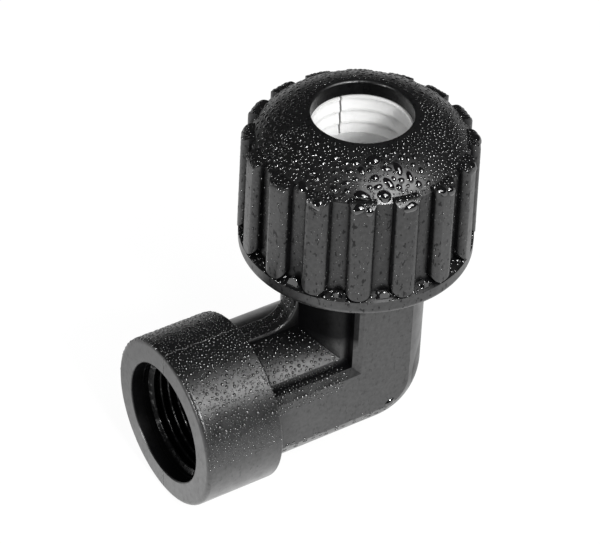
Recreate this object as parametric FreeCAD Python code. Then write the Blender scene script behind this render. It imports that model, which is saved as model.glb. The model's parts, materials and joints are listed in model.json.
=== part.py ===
"""Female pipe elbow: a 20 mm compression socket turned 90 degrees to a 3/4 inch female thread.

Frame: +Z is the pipe's axis, out of the compression nut. The thread's axis lies along X and
its mouth faces -X. The two flat cheeks face -Y and +Y. The origin is on the thread's axis at
the plane where the full thread starts, a lead-in's depth inside the mouth.
"""
import FreeCAD, Part
import math
import os

V = FreeCAD.Vector

# Female thread and its collar (mm)
thread_r = 13.22            # wall radius at the bottom of a 3/4 inch parallel thread
thread_len = 13.0
lead_in_len = 2.8           # plain bore between the mouth's face and the thread
lead_in_clear = 0.22        # how far the plain bore's wall stands outside the thread
mouth_chamfer = 0.25
collar_r = 18.75
collar_len = 18.2
collar_front_round = 1.0
collar_rear_round = 0.5

# Elbow legs, both of one outer radius
pipe_axis_x = 44.1          # from the thread's start to the pipe's axis
leg_r = 15.4
passage_r = 9.0
cheek_depth = 1.2           # how deep the two flat cheeks are cut into the legs
cheek_edge = 6.5            # from a leg's axis to its cheek's edge in the inner corner
relief_edge = 8.25          # from a leg's axis to the ledge where its relief starts
relief_ledge = 1.6          # width of that ledge
web_thick = 5.0
web_rise = 0.8              # how far the web stands proud of the legs
web_corner_r = 5.7
web_edge_round = 0.6

# Compression socket on top of the vertical leg
pipe_r = 10.0
pipe_clear = 0.25
stop_z = 22.0               # the pipe's end lands here
socket_len = 22.0
seal_section_r = 1.75
seal_clear = 0.05
seat_len = 6.0              # depth of the counterbore that holds the seal and the bush
seat_chamfer = 0.5
guide_r = 19.2              # round shoulder under the head's thread, which the nut's skirt covers
guide_len = 2.5
guide_bottom_z = 31.2
neck_cone_len = 3.2
head_core_r = 17.7          # root of the coarse outer thread
head_top_chamfer = 0.7

# Bush between the seal and the grip ring
bush_flange_r = 16.2
bush_flange_thick = 0.9
bush_seat_clear = 0.25

# Split grip ring
ring_gap = 0.1              # play between the ring and the bush under it
ring_len = 9.2
ring_cone_clear = 0.3
ring_slit = 0.45
ring_slit_turn = 80.8       # degrees from +X round the pipe's axis
ring_teeth = 3
ring_tooth_depth = 0.55
ring_tooth_land = 0.5
ring_edge = 0.35

# Compression nut
nut_bottom_z = 30.35
skirt_clear = 0.3
skirt_lead = 0.6
nut_ceiling_clear = 0.7     # above the top of the head
bush_pocket_clear = 0.5
bush_pocket_len = 0.6
cone_bottom_r = 15.4
cone_top_r = 12.4
cone_len = 9.2
lip_clear = 0.6             # around the pipe
rim_z = 63.8
rim_round = 0.6
dome_round_r = 17.0
shoulder_r = 22.6
shoulder_z = 57.15
valley_r = 22.7
flange_r = 24.8
flange_len = 3.3
flange_edge = 1.3
flange_ramp = 1.4
rib_count = 16
rib_phase = 12.5
rib_width = 5.5
rib_corner = 1.7
rib_r_bottom = 25.0
rib_r_top = 24.6
rib_top_rise = 0.95         # above the edge where the dome starts
rib_top_round = 2.2
rib_root = 1.2              # how deep a rib's sides run into the wall behind them
rib_foot_rise = 0.55        # above the flange

# Sizes worked out from the ones above
mouth_x = -lead_in_len
cheek_y = leg_r - cheek_depth
bevel_y = math.sqrt(leg_r ** 2 - relief_edge ** 2)
relief_y = bevel_y - relief_ledge
collar_rear_x = mouth_x + collar_len
thread_end_x = thread_len
lead_in_r = thread_r + lead_in_clear
socket_r = pipe_r + pipe_clear
seat_z = stop_z + socket_len
head_top_z = seat_z + seat_len
seal_r = socket_r + seal_clear + seal_section_r
seal_z = seat_z + seal_section_r
seat_r = seal_r + seal_section_r + seal_clear
bush_bottom_z = seal_z + seal_section_r
bush_top_z = head_top_z + bush_flange_thick
bush_in_r = socket_r + seal_clear
bush_out_r = seat_r - bush_seat_clear
ring_bottom_z = bush_top_z + ring_gap
ring_top_z = ring_bottom_z + ring_len
ring_in_r = bush_in_r
skirt_r = guide_r + skirt_clear
ceiling_z = head_top_z + nut_ceiling_clear
pocket_r = bush_flange_r + bush_pocket_clear
cone_bottom_z = ceiling_z + bush_pocket_len
cone_top_z = cone_bottom_z + cone_len
lip_r = pipe_r + lip_clear
guide_top_z = guide_bottom_z + guide_len
flange_top_z = nut_bottom_z + flange_len
rib_foot_z = flange_top_z + rib_foot_rise
rib_top_z = shoulder_z + rib_top_rise
rib_draft = (rib_r_bottom - rib_r_top) / (rib_top_z - rib_foot_z)
rib_low_r = rib_r_bottom + rib_draft * (rib_foot_z - nut_bottom_z)


def line(points):
    """Edges that join points, each point an (a, b) pair in the XZ plane."""
    corners = [V(a, 0, b) for a, b in points]
    return [Part.LineSegment(p, q).toShape() for p, q in zip(corners, corners[1:])]


def arc(start, middle, end):
    """Arc through three (a, b) points in the XZ plane."""
    return Part.Arc(V(start[0], 0, start[1]), V(middle[0], 0, middle[1]),
                    V(end[0], 0, end[1])).toShape()


def bend(centre, radius, from_deg, to_deg):
    """Arc about a centre in the XZ plane, then its start and end points."""
    def at(degrees):
        turn = math.radians(degrees)
        return (centre[0] + radius * math.cos(turn), centre[1] + radius * math.sin(turn))
    return arc(at(from_deg), at((from_deg + to_deg) / 2), at(to_deg)), at(from_deg), at(to_deg)


def closed(points):
    """Straight edges round points and back to the first."""
    return line(points + [points[0]])


def outline_face(edges):
    return Part.Face(Part.Wire(Part.__sortEdges__(edges)))


def turned(edges):
    """Solid turned about the pipe's axis from a closed outline of (radius, z) edges."""
    solid = outline_face(edges).revolve(V(0, 0, 0), V(0, 0, 1), 360)
    solid.translate(V(pipe_axis_x, 0, 0))
    return solid


def turned_x(edges):
    """Solid turned about the thread's axis from a closed outline of (x, radius) edges."""
    return outline_face(edges).revolve(V(0, 0, 0), V(1, 0, 0), 360)


def cylinder_z(radius, low, high):
    return Part.makeCylinder(radius, high - low, V(pipe_axis_x, 0, low), V(0, 0, 1))


def cylinder_x(radius, low, high):
    return Part.makeCylinder(radius, high - low, V(low, 0, 0), V(1, 0, 0))


def slab(x_range, y_range, z_range):
    """Box between a low and a high value on each axis."""
    return Part.makeBox(x_range[1] - x_range[0], y_range[1] - y_range[0],
                        z_range[1] - z_range[0], V(x_range[0], y_range[0], z_range[0]))


def legs():
    """Two round legs and their ball corner, flat on both cheeks, relieved in the inner corner."""
    body = cylinder_x(leg_r, collar_rear_x - collar_rear_round, pipe_axis_x)
    body = body.fuse([cylinder_z(leg_r, 0, guide_bottom_z),
                      Part.makeSphere(leg_r, V(pipe_axis_x, 0, 0))])
    beyond = 2 * leg_r
    body = body.common(slab((mouth_x, pipe_axis_x + beyond), (-cheek_y, cheek_y),
                            (-beyond, guide_top_z)))
    for side in (-1, 1):
        across = sorted((side * relief_y, side * beyond))
        body = body.cut(slab((mouth_x, pipe_axis_x - relief_edge), across,
                             (relief_edge, guide_top_z)))
    return body


def cheek_rail(side):
    """L-shaped rail along both legs that squares off a cheek's inner edge and bevels it."""
    outline = [(0, relief_y), (0, cheek_y), (cheek_edge, cheek_y), (relief_edge, bevel_y),
               (relief_edge, relief_y), (0, relief_y)]
    start_x = collar_rear_x - collar_rear_round
    level = Part.Face(Part.makePolygon([V(start_x, side * y, rise) for rise, y in outline]))
    upright = Part.Face(Part.makePolygon([V(pipe_axis_x - out, side * y, 0)
                                          for out, y in outline]))
    return level.extrude(V(pipe_axis_x - start_x, 0, 0)).fuse(
        upright.extrude(V(0, 0, guide_bottom_z)))


def web():
    """Narrow web on the mid plane, with a hollow corner from the collar up to the neck."""
    top_z = leg_r + web_rise
    front_x = pipe_axis_x - top_z
    start_x = collar_rear_x - collar_rear_round
    corner, low, high = bend((front_x - web_corner_r, top_z + web_corner_r),
                             web_corner_r, -90, 0)
    edges = line([(start_x, 0), (start_x, top_z), low]) + [corner]
    edges += line([high, (front_x, guide_bottom_z), (pipe_axis_x, guide_bottom_z),
                   (pipe_axis_x, 0), (start_x, 0)])
    face = outline_face(edges)
    face.translate(V(0, -web_thick / 2, 0))
    plate = face.extrude(V(0, web_thick, 0))
    rim = [edge for edge in plate.Edges
           if edge.BoundBox.YLength < web_edge_round
           and edge.CenterOfMass.z > top_z - web_edge_round
           and edge.CenterOfMass.x < front_x + web_edge_round]
    return plate.makeFillet(web_edge_round, rim)


def collar():
    """Round collar about the female thread, its front and rear rims rounded."""
    front, front_low, front_high = bend(
        (mouth_x + collar_front_round, collar_r - collar_front_round),
        collar_front_round, 180, 90)
    rear, rear_high, rear_low = bend(
        (collar_rear_x - collar_rear_round, collar_r - collar_rear_round),
        collar_rear_round, 90, 0)
    edges = line([(mouth_x, 0), front_low]) + [front] + line([front_high, rear_high])
    edges += [rear] + line([rear_low, (collar_rear_x, 0), (mouth_x, 0)])
    return turned_x(edges)


def head():
    """Top of the vertical leg: cone, guide shoulder and the core of the coarse outer thread."""
    cone_z = guide_bottom_z - neck_cone_len
    return turned(closed([
        (0, cone_z), (cheek_y, cone_z), (guide_r, guide_bottom_z), (guide_r, guide_top_z),
        (head_core_r, guide_top_z), (head_core_r, head_top_z - head_top_chamfer),
        (head_core_r - head_top_chamfer, head_top_z), (0, head_top_z)]))


def thread_bore():
    """Space inside the collar: mouth chamfer, plain lead-in and the threaded stretch."""
    return turned_x(closed([
        (mouth_x, 0), (mouth_x, lead_in_r + mouth_chamfer),
        (mouth_x + mouth_chamfer, lead_in_r), (0, lead_in_r), (0, thread_r),
        (thread_end_x, thread_r), (thread_end_x, 0)]))


def pipe_socket():
    """Space above the pipe's stop: the socket and the counterbore for the seal and the bush."""
    return turned(closed([
        (0, stop_z), (socket_r, stop_z), (socket_r, seat_z), (seat_r, seat_z),
        (seat_r, head_top_z - seat_chamfer), (seat_r + seat_chamfer, head_top_z),
        (0, head_top_z)]))


def waterway():
    """Passage from the thread's end round the corner to the pipe's stop."""
    return cylinder_x(passage_r, thread_end_x, pipe_axis_x).fuse(
        [cylinder_z(passage_r, 0, stop_z), Part.makeSphere(passage_r, V(pipe_axis_x, 0, 0))])


def elbow_body():
    solid = legs().fuse([cheek_rail(-1), cheek_rail(1), web(), collar(), head()])
    for space in (thread_bore(), pipe_socket(), waterway()):
        solid = solid.cut(space)
    return solid


def seal_ring():
    return Part.makeTorus(seal_r, seal_section_r, V(pipe_axis_x, 0, seal_z), V(0, 0, 1))


def thrust_bush():
    """Flanged bush that rests on the head's rim and reaches down to the seal."""
    return turned(closed([
        (bush_in_r, bush_bottom_z), (bush_out_r, bush_bottom_z), (bush_out_r, head_top_z),
        (bush_flange_r, head_top_z), (bush_flange_r, bush_top_z), (bush_in_r, bush_top_z)]))


def cone_radius(z):
    """Radius of the nut's inner cone at a height."""
    share = (z - cone_bottom_z) / cone_len
    return cone_bottom_r + (cone_top_r - cone_bottom_r) * share


def ring_teeth_outline():
    """Inner side of the grip ring from top to bottom: a sawtooth of lands and sloped grooves."""
    pitch = (ring_top_z - ring_bottom_z) / ring_teeth
    points = []
    for tooth in range(ring_teeth):
        top = ring_top_z - tooth * pitch
        points += [(ring_in_r, top), (ring_in_r, top - ring_tooth_land),
                   (ring_in_r + ring_tooth_depth, top - ring_tooth_land)]
    return points + [(ring_in_r, ring_bottom_z)]


def split_grip_ring():
    """Toothed ring, coned outside to the nut and slit through on one side."""
    side_clear = ring_cone_clear / math.cos(math.atan((cone_bottom_r - cone_top_r) / cone_len))
    low_r = cone_radius(ring_bottom_z) - side_clear
    high_r = cone_radius(ring_top_z) - side_clear
    taper = (low_r - high_r) / ring_len * ring_edge
    ring = turned(closed(ring_teeth_outline() + [
        (low_r - ring_edge, ring_bottom_z), (low_r - taper, ring_bottom_z + ring_edge),
        (high_r + taper, ring_top_z - ring_edge), (high_r - ring_edge, ring_top_z)]))
    slit = slab((pipe_axis_x, pipe_axis_x + 2 * low_r), (-ring_slit / 2, ring_slit / 2),
                (ring_bottom_z - ring_edge, ring_top_z + ring_edge))
    slit.rotate(V(pipe_axis_x, 0, 0), V(0, 0, 1), ring_slit_turn)
    return ring.cut(slit)


def nut_shell():
    """Nut without its ribs: flange, drawn-in wall, dome and rounded rim."""
    foot, foot_low, foot_high = bend((flange_r - flange_edge, nut_bottom_z + flange_edge),
                                     flange_edge, -90, 0)
    rim_r = lip_r + rim_round
    lip, lip_high, lip_low = bend((rim_r, rim_z - rim_round), rim_round, 90, 180)
    dome = (shoulder_r - rim_r, rim_z - shoulder_z)
    half_chord = math.hypot(*dome) / 2
    sag = dome_round_r - math.sqrt(dome_round_r ** 2 - half_chord ** 2)
    crown = ((shoulder_r + rim_r) / 2 + sag * dome[1] / (2 * half_chord),
             (shoulder_z + rim_z) / 2 + sag * dome[0] / (2 * half_chord))
    edges = line([(0, nut_bottom_z), foot_low]) + [foot]
    edges += line([foot_high, (flange_r, flange_top_z), (valley_r, flange_top_z + flange_ramp),
                   (shoulder_r, shoulder_z)])
    edges += [arc((shoulder_r, shoulder_z), crown, (rim_r, rim_z)), lip]
    edges += line([lip_low, (0, rim_z - rim_round), (0, nut_bottom_z)])
    return turned(edges)


def rib_section(radius, z):
    """Closed outline of one rib at a height: a flat-topped bump with rounded shoulders."""
    half = rib_width / 2
    inner = shoulder_r - rib_root
    reach = math.sqrt(radius ** 2 - (half - rib_corner) ** 2)
    slant = rib_corner * math.sqrt(0.5)
    def at(a, b):
        return V(pipe_axis_x + a, b, z)
    left = Part.Arc(at(reach - rib_corner, half),
                    at(reach - rib_corner + slant, half - rib_corner + slant),
                    at(reach, half - rib_corner))
    right = Part.Arc(at(reach, rib_corner - half),
                     at(reach - rib_corner + slant, rib_corner - half - slant),
                     at(reach - rib_corner, -half))
    top = Part.Arc(at(reach, half - rib_corner), at(radius, 0), at(reach, rib_corner - half))
    sides = [Part.LineSegment(at(inner, half), at(reach - rib_corner, half)),
             Part.LineSegment(at(reach - rib_corner, -half), at(inner, -half)),
             Part.LineSegment(at(inner, -half), at(inner, half))]
    order = [sides[0], left, top, right, sides[1], sides[2]]
    return Part.Wire([piece.toShape() for piece in order])


def rib():
    """One grip rib at zero turn, round-ended below and rounded over at the shoulder."""
    bar = Part.makeLoft([rib_section(rib_low_r, nut_bottom_z), rib_section(rib_r_top, rib_top_z)],
                        True, True)
    half = rib_width / 2
    inner, outer = pipe_axis_x + shoulder_r - 2 * rib_root, pipe_axis_x + 2 * rib_r_bottom
    tongue = Part.makeCylinder(half, outer - inner, V(inner, 0, rib_foot_z + half), V(1, 0, 0))
    tongue = tongue.fuse(slab((inner, outer), (-half, half), (rib_foot_z + half, rib_top_z)))
    over, over_high, over_low = bend(
        (rib_r_top - rib_top_round, rib_top_z - rib_top_round), rib_top_round, 90, 0)
    cap_edges = line([(0, nut_bottom_z), (0, rib_top_z), over_high]) + [over]
    cap_edges += line([over_low, (rib_low_r, nut_bottom_z), (0, nut_bottom_z)])
    return bar.common(tongue).common(turned(cap_edges))


def compression_nut():
    first = rib()
    ribs = []
    for index in range(rib_count):
        copy = first.copy()
        copy.rotate(V(pipe_axis_x, 0, 0), V(0, 0, 1), rib_phase + 360 * index / rib_count)
        ribs.append(copy)
    hollow = turned(closed([
        (0, nut_bottom_z), (skirt_r + skirt_lead, nut_bottom_z),
        (skirt_r, nut_bottom_z + skirt_lead), (skirt_r, ceiling_z), (pocket_r, ceiling_z),
        (pocket_r, cone_bottom_z), (cone_bottom_r, cone_bottom_z), (cone_top_r, cone_top_z),
        (lip_r, cone_top_z), (lip_r, rim_z), (0, rim_z)]))
    return nut_shell().fuse(ribs).cut(hollow)


PIECES = {
    "elbow_body": elbow_body,
    "seal_ring": seal_ring,
    "thrust_bush": thrust_bush,
    "split_grip_ring": split_grip_ring,
    "compression_nut": compression_nut,
}


def main():
    os.makedirs("parts", exist_ok=True)
    for name, make in PIECES.items():
        shape = make().removeSplitter()
        solids = shape.Solids
        print(name, "solids", len(solids), "valid", shape.isValid(),
              "volume cm3", round(shape.Volume / 1000, 3))
        solids[0].exportStep("parts/%s.step" % name)


main()
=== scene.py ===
"""Looks of the female pipe elbow: materials, threads, mould lines and water drops, lit and framed.

Lengths are in millimetres up to the moment a mesh is made, and +Z is the pipe's axis as in the
frame. Every random draw comes from one seeded generator, so each run gives the same drops.
"""
import json
import math
import random
from bisect import bisect

import bpy
from mathutils import Matrix, Vector
from mathutils.bvhtree import BVHTree


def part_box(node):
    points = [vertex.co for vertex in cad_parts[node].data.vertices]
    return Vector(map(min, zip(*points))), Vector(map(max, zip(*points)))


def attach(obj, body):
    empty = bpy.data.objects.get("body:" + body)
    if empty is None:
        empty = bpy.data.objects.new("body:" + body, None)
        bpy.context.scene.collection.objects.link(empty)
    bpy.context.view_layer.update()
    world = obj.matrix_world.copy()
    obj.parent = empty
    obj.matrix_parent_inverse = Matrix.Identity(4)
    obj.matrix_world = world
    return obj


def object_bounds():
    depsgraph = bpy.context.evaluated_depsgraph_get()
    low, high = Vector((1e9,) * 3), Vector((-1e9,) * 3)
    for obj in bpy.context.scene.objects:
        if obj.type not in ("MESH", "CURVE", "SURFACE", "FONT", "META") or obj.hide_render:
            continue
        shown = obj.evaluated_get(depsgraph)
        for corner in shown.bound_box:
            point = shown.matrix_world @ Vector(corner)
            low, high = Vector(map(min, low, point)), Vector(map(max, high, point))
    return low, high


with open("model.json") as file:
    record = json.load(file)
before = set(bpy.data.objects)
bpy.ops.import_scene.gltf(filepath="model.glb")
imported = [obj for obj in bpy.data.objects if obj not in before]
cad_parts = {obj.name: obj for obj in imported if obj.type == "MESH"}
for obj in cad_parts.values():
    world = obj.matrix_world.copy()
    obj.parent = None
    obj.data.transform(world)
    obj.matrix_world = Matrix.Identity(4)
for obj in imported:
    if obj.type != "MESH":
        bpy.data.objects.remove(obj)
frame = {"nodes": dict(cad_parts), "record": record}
cad_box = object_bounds()

MM = 0.001
NODES = frame["nodes"]
MOUNTS = {mount["name"]: mount for mount in frame["record"]["mounts"]}
PIPE_AXIS_X = MOUNTS["pipe_socket"]["pos_m"][0] / MM
THREAD_R = MOUNTS["female_thread"]["dims"]["r_mm"]
THREAD_LEN = MOUNTS["female_thread"]["dims"]["length_mm"]
DOWN = Vector((0, 0, -1))
UP = Vector((0, 0, 1))
random_draws = random.Random(20)

# Camera, fitted to the photograph's rims and edges
PHOTO_WIDTH = 600
FOCAL_PX = 2705.9
CAMERA_TURN = -33.952           # degrees about +Z from straight behind the near cheek
CAMERA_RISE = 39.049
CAMERA_ROLL = 2.332
CAMERA_DISTANCE = 589.446       # from the crossing of the two legs' axes
CAMERA_RIGHT = -10.698
CAMERA_UP = 16.852
SENSOR_WIDTH = 36.0

# Threads
PIPE_THREAD_PITCH = 1.814
PIPE_THREAD_DEPTH = 1.162
HEAD_THREAD_PITCH = 4.0
HEAD_THREAD_DEPTH = 1.4
HEAD_THREAD_LOW = 35.2          # where the coarse thread's middle line starts
HEAD_THREAD_HIGH = 48.2
NUT_THREAD_HIGH = 46.0

# Nut
NUT_HOLE_R = 10.6
FLANGE_R = 24.8
LEDGE_Z = 33.6                  # flange's top between the ribs
DOME_LOW_Z = 57.3
DOME_RIM_R = 11.3               # where the lip round the hole starts

# Elbow
COLLAR_END = 15.3
LEG_R = 15.4
CHEEK_Y = 13.6                  # just short of the flat cheeks


# ---- Surfaces of the frame

def surface_of(node):
    """Search tree over a CAD node's faces, in millimetres."""
    mesh = NODES[node].data
    return BVHTree.FromPolygons([v.co / MM for v in mesh.vertices],
                                [p.vertices[:] for p in mesh.polygons])


def level_way(turn, lift=0.0):
    """Level unit vector at a turn in degrees, or a little raised by lift."""
    return Vector((math.cos(math.radians(turn)), math.sin(math.radians(turn)), lift))


def wall_radius(surface, z, outside):
    """Distance from the pipe's axis to a node's wall at a height, met from outside or inside."""
    far = 100.0
    way = level_way(17.188734)
    start = Vector((PIPE_AXIS_X, 0, z))
    if outside:
        hit = surface.ray_cast(start + way * far, -way)
        return far - hit[3]
    return surface.ray_cast(start, way)[3]


# ---- Making pieces

def new_piece(name, vertices, faces, material, body):
    """Mesh piece from millimetre vertices, riding on a CAD body."""
    mesh = bpy.data.meshes.new(name)
    mesh.from_pydata([Vector(v) * MM for v in vertices], [], faces)
    mesh.validate()
    mesh.shade_smooth()
    mesh.materials.append(material)
    piece = bpy.data.objects.new(name, mesh)
    bpy.context.scene.collection.objects.link(piece)
    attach(piece, body)
    return piece


def helix_ridge(to_frame, wall, profile, pitch, low, high, inward, run_out=0.35, steps=80):
    """Vertices and faces of a thread ridge that climbs a wall, thinning out at both ends.

    profile lists (rise off the wall, place along the axis); to_frame turns (x, y, along) points
    about the thread's own axis into the row frame.
    """
    turns = (high - low) / pitch
    count = max(2, round(turns * steps))
    vertices, faces = [], []
    for step in range(count + 1):
        turn = turns * step / count
        angle = 2 * math.pi * turn
        share = min(1.0, turn / run_out, (turns - turn) / run_out)
        fade = share * share * (3 - 2 * share)
        for rise, along in profile:
            lift = rise * fade if rise > 0 else rise
            radius = wall - lift if inward else wall + lift
            point = Vector((radius * math.cos(angle), radius * math.sin(angle),
                            low + pitch * turn + along * (0.4 + 0.6 * fade)))
            vertices.append(to_frame @ point)
    ring = len(profile)
    for step in range(count):
        for i in range(ring):
            j = (i + 1) % ring
            a, b = step * ring, (step + 1) * ring
            faces.append((a + i, a + j, b + j, b + i))
    faces.append(tuple(range(ring)))
    faces.append(tuple(count * ring + i for i in reversed(range(ring))))
    if not inward:
        faces = [tuple(reversed(face)) for face in faces]
    return vertices, faces


# ---- Material helpers

class Nodes:
    """Short calls for the nodes of one tree."""

    def __init__(self, tree):
        self.tree = tree

    def node(self, kind, **settings):
        made = self.tree.nodes.new(kind)
        for key, value in settings.items():
            setattr(made, key, value)
        return made

    def link(self, source, target):
        self.tree.links.new(source, target)

    def spread(self, source, low, high, from_low=0.3, from_high=0.7, smooth=False):
        """source moved to run from low to high."""
        made = self.node("ShaderNodeMapRange")
        if smooth:
            made.interpolation_type = "SMOOTHSTEP"
        for key, value in (("From Min", from_low), ("From Max", from_high),
                           ("To Min", low), ("To Max", high)):
            made.inputs[key].default_value = value
        self.link(source, made.inputs["Value"])
        return made.outputs["Result"]

    def math(self, operation, first, second=None):
        made = self.node("ShaderNodeMath", operation=operation)
        self.link(first, made.inputs[0])
        if isinstance(second, float):
            made.inputs[1].default_value = second
        elif second is not None:
            self.link(second, made.inputs[1])
        return made.outputs[0]

    def choose(self, share, first, second):
        """first where share is 0 and second, a number, where it is 1."""
        made = self.node("ShaderNodeMix")
        made.inputs["B"].default_value = second
        self.link(share, made.inputs["Factor"])
        if isinstance(first, float):
            made.inputs["A"].default_value = first
        else:
            self.link(first, made.inputs["A"])
        return made.outputs["Result"]


class Recipe(Nodes):
    """Material with a Principled shader."""

    def __init__(self, name):
        self.material = bpy.data.materials.new(name)
        self.material.use_nodes = True
        super().__init__(self.material.node_tree)
        self.shader = self.tree.nodes["Principled BSDF"]
        self.place = self.node("ShaderNodeTexCoord").outputs["Object"]

    def feed(self, socket, source):
        """Links source to one of the shader's sockets."""
        self.link(source, self.shader.inputs[socket])

    def noise(self, size_mm, detail=3.0, stretch=None):
        """Noise whose features are about size_mm across."""
        made = self.node("ShaderNodeTexNoise")
        made.inputs["Scale"].default_value = 1 / (size_mm * MM)
        made.inputs["Detail"].default_value = detail
        source = self.place
        if stretch:
            mapping = self.node("ShaderNodeMapping")
            mapping.inputs["Scale"].default_value = stretch
            self.link(source, mapping.inputs["Vector"])
            source = mapping.outputs["Vector"]
        self.link(source, made.inputs["Vector"])
        return made.outputs["Fac"]

    def mixed(self, source, low, high):
        """Colour between low and high by source."""
        ramp = self.node("ShaderNodeValToRGB")
        ramp.color_ramp.elements[0].position = 0.3
        ramp.color_ramp.elements[1].position = 0.7
        ramp.color_ramp.elements[0].color = (*low, 1)
        ramp.color_ramp.elements[1].color = (*high, 1)
        self.link(source, ramp.inputs["Fac"])
        return ramp.outputs["Color"]

    def axis(self, name):
        """One coordinate of the shaded point."""
        axes = self.node("ShaderNodeSeparateXYZ")
        self.link(self.place, axes.inputs[0])
        return axes.outputs[name]

    def radius(self, first, first_off, second):
        """Distance from a straight axis, given by the two coordinates across it."""
        a = self.math("SUBTRACT", self.axis(first), first_off * MM)
        b = self.axis(second)
        return self.math("SQRT", self.math("ADD", self.math("MULTIPLY", a, a),
                                           self.math("MULTIPLY", b, b)))

    def bump(self, source, height_mm, below=None):
        made = self.node("ShaderNodeBump")
        made.inputs["Distance"].default_value = height_mm * MM
        self.link(source, made.inputs["Height"])
        if below is not None:
            self.link(below, made.inputs["Normal"])
        return made.outputs["Normal"]

    def set(self, **values):
        """Constants straight on the shader's sockets."""
        for key, value in values.items():
            self.shader.inputs[key.replace("_", " ")].default_value = value


def moulded_black(name, grain_mm, bore_axis, shaded_bore_r, fleck_share, seamed_and_corner_shaded=False):
    """Satin black plastic: faint colour drift, patchy gloss, a fine grain, and painted shade in
    hollows and inside the bore.

    bore_axis gives the object axes across the bore and how far its axis lies off; surfaces nearer
    that axis than the given bore radius get painted shade, their gloss cut to a fifth. fleck_share
    is the gloss left in the small upright flecks of fine drizzle.
    """
    made = Recipe(name)
    made.feed("Base Color", made.mixed(made.noise(7.0, 2.0), BLACK_LOW, BLACK_HIGH))
    made.feed("Roughness", made.spread(made.noise(2.6, 5.0), 0.29, 0.38))
    off_axis = made.radius(*bore_axis)
    # Painted shade: ambient occlusion cuts the gloss in hollows and crevices.
    hollow_shade = made.node("ShaderNodeAmbientOcclusion", samples=8, only_local=True)
    hollow_shade.inputs["Distance"].default_value = HOLLOW_SHADE_REACH * MM
    gloss_and_shade = [made.spread(hollow_shade.outputs["AO"], 0.04, 1.0, 0.45, 0.97),
             # Painted shade: the gloss drops to a fifth inside the bore.
             made.spread(off_axis, 0.2, 1.0, shaded_bore_r * MM, (shaded_bore_r + 0.1) * MM),
             made.spread(made.noise(0.8, 5.0), 0.72, 1.0),
             made.spread(made.noise(0.75, 2.0, stretch=(1, 1, 0.5)), 1.0, fleck_share,
                         0.61, 0.65)]
    # The seam comes with painted shade on the upright's wall between the cheeks.
    if seamed_and_corner_shaded:
        gloss_and_shade.append(inner_corner_shade(made))
    total = gloss_and_shade[0]
    for share in gloss_and_shade[1:]:
        total = made.math("MULTIPLY", total, share)
    made.feed("Specular IOR Level", total)
    relief = made.bump(made.noise(4.5, 1.0), 0.06)
    if seamed_and_corner_shaded:
        relief = made.bump(parting_line(made, off_axis), 0.14, relief)
    made.feed("Normal", made.bump(made.noise(grain_mm, 4.0), 0.012, relief))
    made.set(IOR=1.58)
    return made.material


def parting_line(made, off_axis):
    """1 on the mould's parting line, a wavy seam on the mid plane outside the thread's bore."""
    sway = made.spread(made.noise(1.3, 2.0), -0.25 * MM, 0.25 * MM)
    off = made.math("ABSOLUTE", made.math("ADD", made.axis("Y"), sway))
    seam = made.spread(off, 1.0, 0.0, 0.08 * MM, 0.3 * MM)
    return made.math("MULTIPLY", seam, made.math("GREATER_THAN", off_axis,
                                                 (THREAD_R + 0.5) * MM))


def inner_corner_shade(made):
    """Share of gloss left on the upright's wall above the level leg, cut to 0.12 between the
    cheeks as painted shade.
    """
    off_pipe = made.radius("X", PIPE_AXIS_X, "Y")
    wall = made.spread(off_pipe, 1.0, 0.0, (LEG_R + 0.1) * MM, (LEG_R + 0.2) * MM)
    above = made.spread(made.axis("Z"), 0.0, 1.0, 13.5 * MM, 16.0 * MM)
    inner = made.spread(made.axis("X"), 1.0, 0.0, 36 * MM, 44 * MM)
    between = made.math("LESS_THAN", made.math("ABSOLUTE", made.axis("Y")), CHEEK_Y * MM)
    corner_shade = made.math("MULTIPLY", made.math("MULTIPLY", wall, above),
                     made.math("MULTIPLY", inner, between))
    return made.spread(corner_shade, 1.0, 0.12, 0.0, 1.0)


def shaded_wet_thread(name):
    """Black plastic whose gloss stays mostly low as painted shade inside the bore, with wet
    patches that catch the lamps.
    """
    made = Recipe(name)
    made.feed("Base Color", made.mixed(made.noise(5.0, 2.0), (0.002, 0.002, 0.0022),
                                       (0.003, 0.003, 0.0033)))
    # Painted shade: the gloss stays mostly low, as on surfaces inside the bore.
    made.feed("Specular IOR Level", made.spread(made.noise(1.6, 3.0), 0.1, 0.7, 0.55, 0.64))
    made.feed("Roughness", made.spread(made.noise(1.0, 3.0), 0.12, 0.3))
    made.feed("Normal", made.bump(made.noise(1.4, 3.0), 0.15))
    made.set(IOR=1.55)
    return made.material


def acetal(name, low, high):
    """Smooth milky white plastic with faint turning marks."""
    made = Recipe(name)
    made.feed("Base Color", made.mixed(made.noise(5.0, 2.0), low, high))
    made.feed("Roughness", made.spread(made.noise(1.5, 4.0), 0.26, 0.36))
    made.feed("Normal", made.bump(made.noise(1.2, 3.0, stretch=(0.15, 0.15, 2.5)), 0.02))
    made.set(IOR=1.48)
    return made.material


def rubber(name):
    """Dull black rubber."""
    made = Recipe(name)
    made.feed("Base Color", made.mixed(made.noise(1.0, 4.0), (0.012, 0.012, 0.012),
                                       (0.022, 0.022, 0.022)))
    made.feed("Roughness", made.spread(made.noise(0.6, 3.0), 0.5, 0.65))
    made.feed("Normal", made.bump(made.noise(0.25, 3.0), 0.01))
    return made.material


def water(name):
    """Clear water on black plastic, which shows as black with sharp lights in it."""
    made = Recipe(name)
    made.feed("Base Color", made.mixed(made.noise(1.5, 2.0), (0.0012, 0.0012, 0.0014),
                                       (0.0025, 0.0025, 0.003)))
    made.feed("Roughness", made.spread(made.noise(0.8, 2.0), 0.03, 0.08))
    made.set(IOR=1.75, Specular_IOR_Level=1.0)
    return made.material


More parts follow.
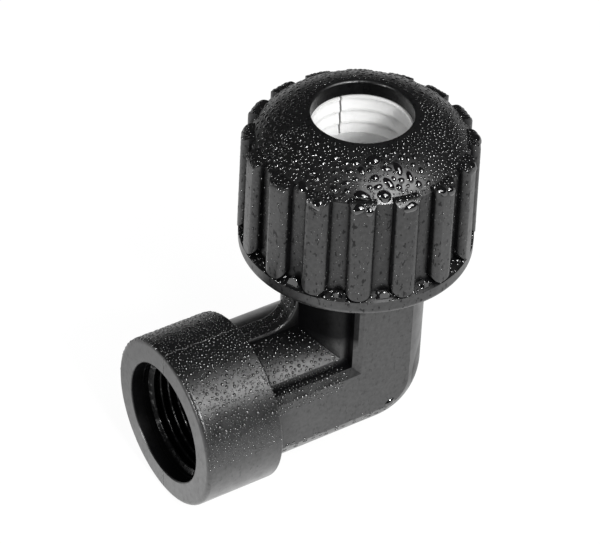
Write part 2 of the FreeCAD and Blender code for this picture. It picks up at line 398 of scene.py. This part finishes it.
BLACK_LOW, BLACK_HIGH = (0.0022, 0.0022, 0.0024), (0.004, 0.004, 0.0044)
HOLLOW_SHADE_REACH = 8                # how far off a wall the painted shade in hollows reaches, in mm
BODY_BLACK = moulded_black("body_plastic", 0.35, ("Y", 0.0, "Z"), THREAD_R + 0.3, 0.72,
                           seamed_and_corner_shaded=True)
NUT_BLACK = moulded_black("nut_plastic", 0.4, ("X", PIPE_AXIS_X, "Y"), NUT_HOLE_R, 0.35)
SHADED_THREAD_BLACK = shaded_wet_thread("thread_plastic")
RING_WHITE = acetal("ring_acetal", (0.92, 0.92, 0.915), (0.95, 0.95, 0.945))
BUSH_WHITE = acetal("bush_acetal", (0.84, 0.845, 0.84), (0.90, 0.90, 0.895))
SEAL_BLACK = rubber("seal_rubber_look")
WATER = water("water_on_black")


def dress_nodes():
    """Each CAD node takes its finish in every material slot it came with."""
    looks = {"elbow_body": BODY_BLACK, "compression_nut": NUT_BLACK, "seal_ring": SEAL_BLACK,
             "split_grip_ring": RING_WHITE, "thrust_bush": BUSH_WHITE}
    for node, look in looks.items():
        for slot in NODES[node].material_slots:
            slot.material = look


# ---- Threads

def female_thread():
    """Pipe thread's ridge, right-handed, on the collar's inner wall."""
    depth = PIPE_THREAD_DEPTH
    flank = [(-0.12, 0.84), (0.0, 0.78), (0.13 * depth, 0.68), (0.73 * depth, 0.32),
             (0.93 * depth, 0.16)]
    profile = ([(rise, -along) for rise, along in flank] + [(depth, 0.0)]
               + [(rise, along) for rise, along in reversed(flank)])
    to_frame = Matrix(((0, 0, 1), (1, 0, 0), (0, 1, 0)))
    vertices, faces = helix_ridge(to_frame, THREAD_R, profile, PIPE_THREAD_PITCH,
                                  0.3, THREAD_LEN - 0.2, inward=True)
    new_piece("female_thread_ridge", vertices, faces, SHADED_THREAD_BLACK, "elbow")


def head_threads(elbow_surface, nut_surface):
    """Coarse right-hand thread on the head and its mate in the nut, half a pitch apart."""
    middle = (HEAD_THREAD_LOW + HEAD_THREAD_HIGH) / 2
    to_frame = Matrix.Translation((PIPE_AXIS_X, 0, 0))
    outer = [(-0.15, -1.15), (0, -1.1), (0.85 * HEAD_THREAD_DEPTH, -0.6),
             (HEAD_THREAD_DEPTH, -0.45), (HEAD_THREAD_DEPTH, 0.45),
             (0.85 * HEAD_THREAD_DEPTH, 0.6), (0, 1.1), (-0.15, 1.15)]
    vertices, faces = helix_ridge(to_frame, wall_radius(elbow_surface, middle, True), outer,
                                  HEAD_THREAD_PITCH, HEAD_THREAD_LOW, HEAD_THREAD_HIGH,
                                  inward=False)
    new_piece("head_thread_ridge", vertices, faces, BODY_BLACK, "elbow")
    start = HEAD_THREAD_LOW + HEAD_THREAD_PITCH / 2
    inner = [(rise, along * 0.85) for rise, along in outer]
    turns = math.floor((NUT_THREAD_HIGH - start) / HEAD_THREAD_PITCH * 4) / 4
    vertices, faces = helix_ridge(to_frame, wall_radius(nut_surface, middle, False), inner,
                                  HEAD_THREAD_PITCH, start, start + turns * HEAD_THREAD_PITCH,
                                  inward=True)
    new_piece("nut_thread_ridge", vertices, faces, NUT_BLACK, "nut")


# ---- Water drops

CELL = 2.0                      # size of the cells that taken places are kept in
SINK = 0.05                     # how far a drop's underside lies below the surface
SEARCH = 1.0                    # how far beyond a drop's length its surface is looked for
POOL_STEPS = 14                 # steps on each side of a pool's middle
POOL_PARTS = 5                  # strips between a pool's upper and lower edge
POOL_ROUGHNESS = 0.014
POOL_RIM = 0.5                  # how far a pool stays off the flange's edge
# Meshes for drops from a radius on: points round the drop, and shares of its radius for rings
DROP_MESHES = ((0.5, 26, (0.22, 0.44, 0.63, 0.79, 0.91, 1.0)), (0.27, 9, (0.5, 0.82, 1.0)),
               (0.0, 7, (0.6, 1.0)))


class Drops:
    """Water drops on one CAD node, gathered into a single piece."""

    def __init__(self, surface):
        self.surface = surface
        self.taken = {}
        self.vertices = []
        self.faces = []

    def room_for(self, place, radius, spacing):
        """Whether no drop that is there already comes too near."""
        x, y, z = (math.floor(c / CELL) for c in place)
        for i in (x - 1, x, x + 1):
            for j in (y - 1, y, y + 1):
                for k in (z - 1, z, z + 1):
                    for other, size in self.taken.get((i, j, k), ()):
                        if (other - place).length < (size + radius) * spacing:
                            return False
        return True

    def claim(self, place, radius):
        """Marks a place as wet, so that later drops keep off it."""
        key = tuple(math.floor(c / CELL) for c in place)
        self.taken.setdefault(key, []).append((place, radius))

    def add(self, place, normal, radius, contact=62.0, wobble=0.0, length=None, heading=None):
        """One drop: a cap whose rim meets the surface at about a contact angle.

        length is half a drop's long way where it isn't round, and heading points along it.
        """
        length = length or radius
        along = heading or random_heading()
        along = (along - normal * along.dot(normal)).normalized()
        across = normal.cross(along)
        edge = math.radians(contact)
        sphere = radius / math.sin(edge)
        segments, rings = next(mesh[1:] for mesh in DROP_MESHES if radius >= mesh[0])
        phases = [random_draws.uniform(0, 2 * math.pi) for _ in range(2)]
        own = [place + normal * (sphere - sphere * math.cos(edge))]
        for ring in rings:
            lift = math.sqrt(sphere ** 2 - (ring * radius) ** 2) - sphere * math.cos(edge)
            for step in range(segments):
                turn = 2 * math.pi * step / segments
                u, v = math.cos(turn), math.sin(turn)
                reach = ring * length * radius / math.hypot(radius * u, length * v)
                reach *= 1 + wobble * (math.cos(2 * turn + phases[0])
                                       + 0.6 * math.cos(3 * turn + phases[1]))
                flat = place + along * (reach * u) + across * (reach * v)
                found, facing = self.surface.find_nearest(flat, length + SEARCH)[:2]
                if found is None or (found - flat).length > 0.35 * length + 0.05:
                    return False
                if facing.dot(normal) < 0.3:
                    return False
                own.append(found + (normal + facing * ring).normalized()
                           * (lift if ring < 1 else -0.4 * SINK))
        own.append(place - normal * SINK)
        if not all(inside_cad_box(point) for point in own):
            return False
        base = len(self.vertices)
        self.vertices += own
        last = base + 1 + segments * len(rings)
        for step in range(segments):
            after = (step + 1) % segments
            self.faces.append((base, base + 1 + step, base + 1 + after))
            for ring in range(len(rings) - 1):
                low, high = base + 1 + ring * segments, base + 1 + (ring + 1) * segments
                self.faces.append((low + step, high + step, high + after, low + after))
            rim = last - segments
            self.faces.append((rim + step, last, rim + after))
        self.claim(place, radius)
        for side in (-1, 1):
            if length > radius:
                self.claim(place + along * (side * (length - radius)), radius)
        return True

    def add_pool(self, turn, half, rise, reach, low_z):
        """Water lying in the corner between the nut's wall and a ledge, over a range of turns."""
        base = len(self.vertices)
        axis = Vector((PIPE_AXIS_X, 0, 0))
        start = 40
        for step in range(-POOL_STEPS, POOL_STEPS + 1):
            out = level_way(turn + half * step / POOL_STEPS)
            fade = 1 - 0.85 * (step / POOL_STEPS) ** 2
            up = rise * fade
            wall = start - self.surface.ray_cast(axis + out * start + UP * (low_z + 0.7), -out)[3]
            ledge = self.surface.ray_cast(axis + out * (wall + 0.4) + UP * (low_z + 3), DOWN)[0].z
            far = min(reach * fade, FLANGE_R - POOL_RIM - wall)
            for part in range(POOL_PARTS + 1):
                share = part / POOL_PARTS
                rough = (random_draws.uniform(-POOL_ROUGHNESS, POOL_ROUGHNESS)
                         if 0 < part < POOL_PARTS else -0.02)
                self.vertices.append(axis + out * (wall - 0.02 + far * share + rough)
                                     + UP * (ledge + rough + up * (1 - share) ** 1.2))
            self.vertices.append(axis + out * (wall - 0.1) + UP * (ledge - 0.1))
            self.claim(axis + out * (wall + far / 2) + UP * ledge, far / 2)
        ring = POOL_PARTS + 2
        last = base + 2 * POOL_STEPS * ring
        for low in range(base, last, ring):
            for i in range(ring):
                j = (i + 1) % ring
                self.faces.append((low + i, low + j, low + ring + j, low + ring + i))
        self.faces.append(tuple(base + i for i in reversed(range(ring))))
        self.faces.append(tuple(last + i for i in range(ring)))

    def scatter(self, sites, tries, spacing, drop):
        """Draws sites for drops and keeps those that have room; drop gives a site's sizes."""
        for _ in range(tries):
            place, normal = random_draws.choice(sites)
            sizes = drop(place, normal)
            if sizes and self.room_for(place, max(sizes["radius"], sizes.get("length", 0)),
                                       spacing):
                self.add(place, normal, **sizes)

    def finish(self, name, body):
        """Makes the piece that holds all the drops."""
        new_piece(name, self.vertices, self.faces, WATER, body)


def random_heading():
    return level_way(random_draws.uniform(0, 360), lift=0.1)


def inside_cad_box(point):
    low, high = cad_box
    return all(low[i] < point[i] * MM < high[i] for i in range(3))


def sites_on(node, count, keep):
    """Random points on a node's faces, spread by area, with their normals, where keep agrees."""
    mesh = NODES[node].data
    corners = [v.co / MM for v in mesh.vertices]
    areas, total = [], 0.0
    for polygon in mesh.polygons:
        total += polygon.area
        areas.append(total)
    sites = []
    for _ in range(count):
        polygon = mesh.polygons[min(bisect(areas, random_draws.uniform(0, total)),
                                    len(areas) - 1)]
        a, b, c = (corners[i] for i in polygon.vertices[:3])
        u, v = random_draws.random(), random_draws.random()
        if u + v > 1:
            u, v = 1 - u, 1 - v
        place = a + (b - a) * u + (c - a) * v
        if keep(place, polygon.normal):
            sites.append((place, polygon.normal.copy()))
    return sites


def around_pipe(place):
    """Radius and turn in degrees of a point about the pipe's axis."""
    dx, dy = place.x - PIPE_AXIS_X, place.y
    return math.hypot(dx, dy), math.degrees(math.atan2(dy, dx))


LIT_TURN = -112.0               # middle of the dome's patch of large drops

# Large drops on the dome as they lie in the photograph: place from the pipe's axis, half
# length and half width in mm, and the heading of the long way in degrees
DOME_DROPS = (
    (-6.4, -14.0, 1.5, 1.5, -27), (-3.7, -14.0, 0.7, 0.68, -25), (-1.8, -14.1, 0.68, 0.66, -23),
    (-1.1, -15.8, 0.8, 0.7, -97), (-2.9, -17.4, 1.7, 0.8, -97), (-5.1, -16.5, 1.25, 0.66, -34),
    (-9.7, -14.5, 1.1, 0.68, -97), (-8.1, -16.9, 0.9, 0.88, -27), (-6.0, -18.9, 1.6, 0.78, -80),
    (-4.7, -18.6, 0.6, 0.5, -92), (-3.4, -19.4, 0.82, 0.6, -24), (-1.4, -19.5, 1.35, 0.7, -96),
    (-8.3, -18.4, 1.0, 0.65, 0), (-4.4, -20.2, 0.8, 0.7, -86), (-3.0, -21.2, 1.6, 0.9, -106),
    (-7.8, -20.1, 1.5, 1.3, -30), (-11.8, -18.0, 1.75, 1.2, -42), (-15.8, -13.9, 0.95, 0.75, -97),
    (-13.5, -14.5, 1.1, 0.58, -16), (-13.8, -15.8, 0.75, 0.7, -43), (-12.7, -9.2, 1.2, 0.75, -7),
    (-9.9, -12.5, 1.0, 0.85, -45), (-8.4, -15.2, 0.6, 0.58, -29), (-11.5, -15.2, 0.7, 0.56, -15),
    (-9.8, -17.7, 0.68, 0.56, -67), (-4.6, -15.5, 0.55, 0.5, -25), (0.4, -17.8, 0.62, 0.58, -95),
    (0.1, -16.4, 0.6, 0.52, -101), (1.6, -16.5, 0.66, 0.52, -98), (-11.8, -13.3, 1.0, 0.58, -28),
    (-12.8, -12.2, 0.5, 0.45, -24), (-11.5, -11.5, 0.76, 0.58, -19),
    (-14.2, -11.7, 0.66, 0.58, -26), (1.6, -19.2, 0.92, 0.66, -95), (3.8, -18.3, 0.8, 0.6, -97),
    (-0.2, -21.0, 1.0, 0.7, -84))


# Water standing between the ribs on the flange: turn, half width in degrees, rise and reach
LEDGE_POOLS = ((-109.6, 4.5, 1.7, 1.9), (-133.0, 3.0, 1.5, 1.2), (-87.0, 3.0, 1.3, 1.4),
               (-156.0, 3.6, 2.2, 1.5))


def off_turn(turn, middle):
    """How many degrees a turn lies past another one, from -180 to 180."""
    return (turn - middle + 180) % 360 - 180


def picked(*sizes, **kind):
    """Drop with one of some radii."""
    return {"radius": random_draws.choice(sizes), **kind}


def between(low, high, **kind):
    """Drop with a radius between two."""
    return {"radius": random_draws.uniform(low, high), **kind}


def dome_drop(place, normal):
    """Small beads between the large drops in front, flatter merging ones round to the back."""
    off = off_turn(around_pipe(place)[1], LIT_TURN)
    if abs(off) < 32:
        return picked(0.22, 0.28, 0.36, 0.46, 0.6, wobble=0.07)
    if 32 <= off < 100:
        return between(0.2, 0.42, wobble=0.08, contact=54)
    if -80 < off <= -32:
        return picked(0.22, 0.27, 0.36, 0.5, 0.72, wobble=0.09, contact=56)
    drop = between(0.32, 0.6, wobble=0.14, contact=30)
    drop["length"] = drop["radius"] * random_draws.uniform(1.0, 1.5)
    return drop


def drops_on_nut(surface):
    """Large drops as photographed, then the ribs' tops, dome, ribs, pools and ledge."""
    drops = Drops(surface)

    def spread_over(keep, tries, spacing, drop):
        drops.scatter(sites_on("compression_nut", 60000, keep), tries, spacing, drop)

    for dx, dy, length, width, heading in DOME_DROPS:
        above = Vector((PIPE_AXIS_X + dx, dy, 100))
        place, normal = surface.ray_cast(above, DOWN)[:2]
        drops.add(place, normal, width, contact=64, wobble=0.07, length=length,
                  heading=level_way(heading))

    def rib_tops(place, normal):
        radius = around_pipe(place)[0]
        return 55.9 < place.z < DOME_LOW_Z + 0.7 and normal.z > 0.3 and radius > 21.8

    def rib_top_film(place, normal):
        turn = around_pipe(place)[1]
        size = random_draws.uniform(0.9, 1.5)
        if not -165 < turn < -20:
            size *= 0.35
        return {"radius": size, "wobble": 0.16, "contact": 32,
                "length": size * random_draws.uniform(1.0, 1.3), "heading": level_way(turn)}

    def rib_top_bead(place, normal):
        return between(0.18, 0.38, wobble=0.08, contact=48)

    top_sites = sites_on("compression_nut", 60000, rib_tops)
    drops.scatter(top_sites, 500, 0.85, rib_top_film)
    drops.scatter(top_sites, 900, 1.05, rib_top_bead)

    def dome(place, normal):
        return (place.z > DOME_LOW_Z and around_pipe(place)[0] > DOME_RIM_R
                and normal.z > 0.3)

    spread_over(dome, 20000, 1.0, dome_drop)

    def sides(place, normal):
        return 36.0 < place.z < 56.5 and abs(normal.z) < 0.3 and around_pipe(place)[0] > 21.5

    def side_drop(place, normal):
        left = abs(off_turn(around_pipe(place)[1], -165)) < 45
        if not (left or place.z > 50) and random_draws.random() < 0.6:
            return None
        size = random_draws.choice((0.12, 0.14, 0.17, 0.21))
        return {"radius": size, "contact": 26 if random_draws.random() < 0.95 else 60,
                "length": size * random_draws.uniform(1.4, 2.6), "heading": UP}

    spread_over(sides, 2600, 1.4, side_drop)
    for turn, half, rise, reach in LEDGE_POOLS:
        drops.add_pool(turn, half, rise, reach, LEDGE_Z)

    def ledge(place, normal):
        return (LEDGE_Z - 0.3 < place.z < LEDGE_Z + 2 and normal.z > 0.3
                and around_pipe(place)[0] > 22.0)

    def ledge_drop(place, normal):
        return between(0.22, 0.6, wobble=0.1, contact=52)

    spread_over(ledge, 1200, 0.98, ledge_drop)
    drops.finish("water_drops_on_nut", "nut")


def drops_on_elbow(surface):
    """Drops on the collar, the level leg, its ledge and web, the inner corner and cheek."""
    drops = Drops(surface)

    def spread_over(keep, tries, spacing, drop, sites=90000):
        drops.scatter(sites_on("elbow_body", sites, keep), tries, spacing, drop)

    def collar(place, normal):
        return (place.x < COLLAR_END and math.hypot(place.y, place.z) > 18.4
                and normal.z > 0.05)

    def collar_drop(place, normal):
        if normal.y < 0 and normal.z < 0.42:
            if random_draws.random() < 0.45:
                return None
            drop = between(0.12, 0.2, contact=36, heading=UP)
            drop["length"] = drop["radius"] * 1.3
            return drop
        if normal.y > 0.25:
            return between(0.3, 0.5, wobble=0.14, contact=32)
        if normal.z > 0.86:
            return picked(0.2, 0.25, 0.3, 0.36, 0.42, wobble=0.08, contact=50)
        return picked(0.16, 0.2, 0.26, 0.32, 0.42, wobble=0.08, contact=62)

    spread_over(collar, 15000, 0.98, collar_drop)

    def leg_top(place, normal):
        return (COLLAR_END < place.x < 34.5 and math.hypot(place.y, place.z) < 16.6
                and place.z > 6 and normal.z > 0.3 and place.y < -2.6)

    def leg_drop(place, normal):
        if place.x > 24 and random_draws.random() < 0.8:
            return None
        return between(0.2, 0.46, wobble=0.06, contact=62)

    spread_over(leg_top, 3000, 1.05, leg_drop)

    def leg_ledge(place, normal):
        return (COLLAR_END < place.x < 33 and -14.6 < place.y < -10.6 and 4 < place.z < 11.5
                and (normal.z > 0.3 or normal.y < -0.3))

    def web(place, normal):
        return (COLLAR_END < place.x < 28 and abs(place.y) < 2.3 and place.z > 15.6
                and normal.z > 0.1)

    def bead(place, normal):
        return between(0.14, 0.3, wobble=0.06, contact=66)

    spread_over(leg_ledge, 1800, 1.1, bead)
    spread_over(web, 1200, 1.0, bead)
    y = -1.5
    while y > -11:
        level = math.sqrt(LEG_R ** 2 - y * y)
        start = Vector((PIPE_AXIS_X - level - 0.45, y, level + 3))
        place, normal = surface.ray_cast(start, DOWN)[:2]
        drops.add(place, normal, random_draws.uniform(0.24, 0.36), contact=62)
        y -= random_draws.uniform(0.6, 1.0)

    def cheek_foot(place, normal):
        return 19 < place.x < 46 and abs(place.y) > 13.0 and -8.0 < place.z < -5.4

    def foot_drop(place, normal):
        drop = between(0.24, 0.5, wobble=0.12, contact=48, heading=Vector((1, 0, 0)))
        drop["length"] = drop["radius"] * 1.6
        return drop

    spread_over(cheek_foot, 300, 1.2, foot_drop, sites=120000)
    place, normal = surface.ray_cast(Vector((45.6, -40, -5.2)), Vector((0, 1, 0)))[:2]
    drops.add(place, normal, 0.9, contact=54, wobble=0.1, length=1.5, heading=Vector((1, 0, 0.5)))
    drops.finish("water_drops_on_elbow", "elbow")


# ---- Studio

def add_camera():
    """Camera at the photograph's angle, from the fitted turn, rise, roll and distance."""
    turn, rise, roll = (math.radians(v) for v in (CAMERA_TURN, CAMERA_RISE, CAMERA_ROLL))
    back = Vector((math.sin(turn) * math.cos(rise), -math.cos(turn) * math.cos(rise),
                   math.sin(rise)))
    level = Vector((math.cos(turn), math.sin(turn), 0))
    upward = back.cross(level)
    right = level * math.cos(roll) + upward * math.sin(roll)
    above = upward * math.cos(roll) - level * math.sin(roll)
    place = (Vector((PIPE_AXIS_X, 0, 0)) + back * CAMERA_DISTANCE + right * CAMERA_RIGHT
             + above * CAMERA_UP)
    lens = bpy.data.cameras.new("camera")
    lens.sensor_fit = "HORIZONTAL"
    lens.sensor_width = SENSOR_WIDTH
    lens.lens = FOCAL_PX * SENSOR_WIDTH / PHOTO_WIDTH
    lens.clip_start = 0.01
    camera = bpy.data.objects.new("camera", lens)
    camera.matrix_world = Matrix.Translation(place * MM) @ Matrix(
        (right, above, back)).transposed().to_4x4()
    bpy.context.scene.collection.objects.link(camera)
    bpy.context.scene.camera = camera


FLOOR_GAP = 0.3                 # between the part's lowest point and the floor
FLOOR_HALF = 6.0                # metres
FLOOR_GLOW = 1.05
WORLD_FOR_SURFACES = 0.3
WORLD_IN_REFLECTIONS = 0.04


def add_floor():
    """White floor that keeps a faint shadow; in reflections it dims away from the part."""
    low_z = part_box("elbow_body")[0].z - FLOOR_GAP * MM
    mesh = bpy.data.meshes.new("studio_floor")
    mesh.from_pydata([(x * FLOOR_HALF, y * FLOOR_HALF, low_z)
                      for x, y in ((-1, -1), (1, -1), (1, 1), (-1, 1))], [], [(0, 1, 2, 3)])
    material = bpy.data.materials.new("studio_white")
    material.use_nodes = True
    made = Nodes(material.node_tree)
    made.tree.nodes.clear()
    place = made.node("ShaderNodeTexCoord").outputs["Object"]
    path = made.node("ShaderNodeLightPath").outputs

    def distance_from(x, y):
        away = made.node("ShaderNodeVectorMath", operation="DISTANCE")
        away.inputs[1].default_value = (x * MM, y * MM, low_z)
        made.link(place, away.inputs[0])
        return away.outputs["Value"]

    fade = made.spread(distance_from(PIPE_AXIS_X * 0.6, 0), FLOOR_GLOW, 0.7, 0.04, 0.16,
                       smooth=True)
    lift = made.spread(distance_from(0, -10), 1.45, 1.0, 0.012, 0.055, smooth=True)
    glow = made.node("ShaderNodeEmission")
    made.link(made.choose(path["Is Camera Ray"], made.math("MULTIPLY", lift, fade), FLOOR_GLOW),
              glow.inputs["Strength"])
    plain = made.node("ShaderNodeBsdfDiffuse")
    plain.inputs["Color"].default_value = (0.9, 0.9, 0.9, 1)
    seen = path["Is Camera Ray"]
    for ray in ("Is Glossy Ray", "Is Transmission Ray"):
        seen = made.math("MAXIMUM", seen, path[ray])
    mix = made.node("ShaderNodeMixShader")
    made.link(made.math("MULTIPLY", seen, 0.9), mix.inputs["Fac"])
    made.link(plain.outputs[0], mix.inputs[1])
    made.link(glow.outputs[0], mix.inputs[2])
    made.link(mix.outputs[0], made.node("ShaderNodeOutputMaterial").inputs["Surface"])
    mesh.materials.append(material)
    floor = bpy.data.objects.new("studio_floor", mesh)
    bpy.context.scene.collection.objects.link(floor)


def add_world():
    """White where the camera sees it, nearly dark in reflections, and plain light for the rest."""
    world = bpy.data.worlds.new("studio")
    world.use_nodes = True
    made = Nodes(world.node_tree)
    background = made.tree.nodes["Background"]
    background.inputs["Color"].default_value = (1, 1, 1, 1)
    path = made.node("ShaderNodeLightPath").outputs
    lit = made.choose(path["Is Glossy Ray"], WORLD_FOR_SURFACES, WORLD_IN_REFLECTIONS)
    made.link(made.choose(path["Is Camera Ray"], lit, 1.0), background.inputs["Strength"])
    bpy.context.scene.world = world


def add_lamp(name, turn, rise, width, height, radiance):
    """Rectangular lamp aimed at the part, placed by its direction in degrees."""
    light = bpy.data.lights.new(name, "AREA")
    light.shape = "RECTANGLE"
    light.size, light.size_y = width, height
    light.energy = radiance * math.pi * width * height
    lamp = bpy.data.objects.new(name, light)
    up = math.radians(rise)
    way = level_way(turn) * math.cos(up) + UP * math.sin(up)
    target = Vector((PIPE_AXIS_X * 0.6, 0, 20)) * MM
    lamp.matrix_world = (Matrix.Translation(target + way * LAMP_DISTANCE)
                         @ way.to_track_quat("Z", "Y").to_matrix().to_4x4())
    bpy.context.scene.collection.objects.link(lamp)


LAMP_DISTANCE = 1.0             # metres
# Lamps: turn and rise in degrees, width and height in metres, and radiance
LAMPS = {"key_softbox": (-79, 57, 0.60, 0.56, 4.4), "side_softbox": (-55, 39, 0.26, 0.26, 5.0),
         "front_lamp": (-96, 34, 0.15, 0.15, 78.0), "left_lamp": (-172, 14, 0.10, 0.10, 90.0)}

dress_nodes()
elbow_surface = surface_of("elbow_body")
nut_surface = surface_of("compression_nut")
female_thread()
head_threads(elbow_surface, nut_surface)
drops_on_nut(nut_surface)
drops_on_elbow(elbow_surface)
add_camera()
add_floor()
add_world()
for lamp_name, settings in LAMPS.items():
    add_lamp(lamp_name, *settings)
bpy.context.scene.view_settings.view_transform = "Standard"
